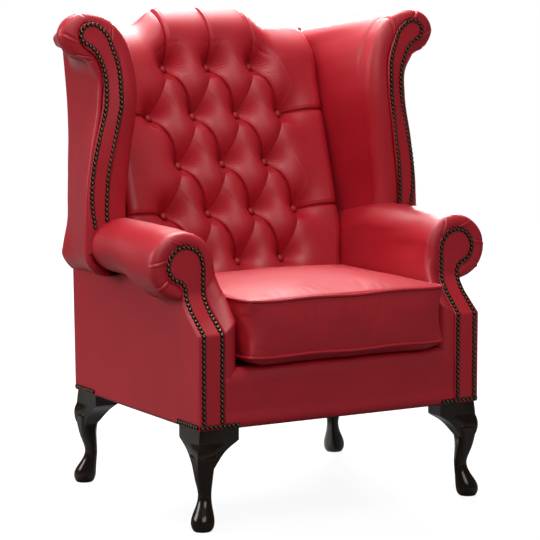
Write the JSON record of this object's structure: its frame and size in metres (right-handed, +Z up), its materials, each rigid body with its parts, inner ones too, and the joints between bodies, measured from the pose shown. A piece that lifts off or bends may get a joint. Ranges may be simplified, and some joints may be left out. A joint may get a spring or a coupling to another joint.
{
  "type": "wingback chair",
  "caption": "Deep-buttoned leather wingback armchair with scrolled arms and wings, a loose seat cushion and cabriole legs.",
  "frame": {"origin": "on the floor under the middle of the chair's bounding box", "axes": "+Z up, the front of the seat faces -Y, +X to the right as seen from the front"},
  "size_m": [0.924, 0.6944, 1.0669],
  "materials": {
    "mahogany": "polished, near black",
    "beech": "plain sawn",
    "leather": "smooth, semi-gloss",
    "button_leather": "smooth, semi-gloss",
    "webbing": "woven jute",
    "black_cloth": "woven",
    "hessian": "stuffed cloth",
    "zinc_steel": "zinc plated"
  },
  "bodies": {
    "chair": {"back_buttons": "button_leather", "back_webbing": "webbing", "crest_rail": "beech", "dust_cover": "black_cloth", "front_border": "leather", "front_left_corner_block": "beech", "front_left_leg": "mahogany", "front_right_corner_block": "beech", "front_right_leg": "mahogany", "front_seat_rail": "beech", "inside_back": "leather", "left_arm_facing": "leather", "left_arm_pad": "leather", "left_arm_rail": "beech", "left_arm_stump": "beech", "left_back_post": "beech", "left_outside_arm": "leather", "left_outside_wing": "leather", "left_seat_rail": "beech", "left_wing_facing": "leather", "left_wing_frame": "beech", "left_wing_pad": "leather", "left_wing_rail": "beech", "leg_bolts": "zinc_steel", "lower_back_rail": "beech", "outside_back": "leather", "rear_left_corner_block": "beech", "rear_left_leg": "mahogany", "rear_right_corner_block": "beech", "rear_right_leg": "mahogany", "rear_seat_rail": "beech", "right_arm_facing": "leather", "right_arm_pad": "leather", "right_arm_rail": "beech", "right_arm_stump": "beech", "right_back_post": "beech", "right_outside_arm": "leather", "right_outside_wing": "leather", "right_seat_rail": "beech", "right_wing_facing": "leather", "right_wing_frame": "beech", "right_wing_pad": "leather", "right_wing_rail": "beech", "seat_platform": "hessian", "seat_webbing": "webbing"},
    "cushion": {"seat_cushion": "leather", "cushion_piping": "leather"}
  },
  "joints": [
    {"name": "cushion_lift", "type": "slide", "parent": "chair", "child": "cushion", "axis": [0, 0, 1], "range_m": [0, 0.25]}
  ]
}
